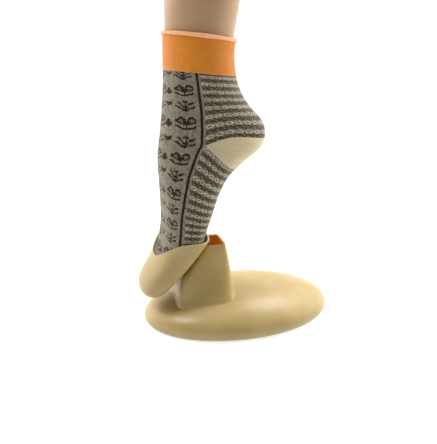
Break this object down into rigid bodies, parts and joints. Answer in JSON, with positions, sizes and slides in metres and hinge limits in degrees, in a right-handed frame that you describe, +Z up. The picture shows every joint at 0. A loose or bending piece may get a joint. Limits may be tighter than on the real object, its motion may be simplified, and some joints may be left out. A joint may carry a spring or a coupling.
{
  "type": "sock display stand",
  "caption": "Foot form standing on its toes in a cup that hooks onto a hollow post on a weighted oval base, dressed in a knitted ankle sock with a rolled cuff.",
  "frame": {"origin": "centre of the oval underside, on the ground, on the anti-slip pad's lower face", "axes": "+Z up along the leg, +X from the toes towards the heel along the oval's long axis, +Y to the foot's side; the part is symmetric about the plane Y = 0"},
  "size_m": [0.225, 0.1406, 0.3951],
  "materials": {
    "stand_plastic": "satin injection-moulded plastic in a warm tan",
    "cover_plastic": "matt dark plastic",
    "pad_foam": "matt closed-cell foam rubber",
    "ballast_iron": "as cast",
    "screw_steel": "zinc plated",
    "form_plastic": "matt blow-moulded plastic, brown beige",
    "pattern_knit": "fine heathered knit with two-colour patterns",
    "cream_knit": "fine plain knit, cream",
    "orange_knit": "fine ribbed knit, orange",
    "peach_knit": "fine plain knit rolled on itself, peach"
  },
  "bodies": {
    "stand": {"base_shell": "stand_plastic", "base_bottom_cover": "cover_plastic", "ballast_plate": "ballast_iron", "anti_slip_pad": "pad_foam", "post": "stand_plastic", "cover_screw_1": "screw_steel", "cover_screw_2": "screw_steel", "cover_screw_3": "screw_steel", "cover_screw_4": "screw_steel", "ballast_screw_1": "screw_steel", "ballast_screw_2": "screw_steel", "post_screw_1": "screw_steel", "post_screw_2": "screw_steel"},
    "toe_cup": {"toe_cup": "stand_plastic"},
    "foot_form": {"foot_form": "form_plastic", "foot_form_top_cap": "form_plastic", "sock_body": "pattern_knit", "sock_heel": "cream_knit", "sock_toe": "cream_knit", "sock_cuff": "orange_knit", "sock_cuff_edge": "peach_knit"}
  },
  "joints": [
    {"name": "toe_cup_lift", "type": "slide", "parent": "stand", "child": "toe_cup", "axis": [0, 0, 1], "range_m": [0, 0.08]},
    {"name": "foot_form_pull", "type": "slide", "parent": "toe_cup", "child": "foot_form", "axis": [0.5299, 0, 0.848], "range_m": [0, 0.12]}
  ]
}
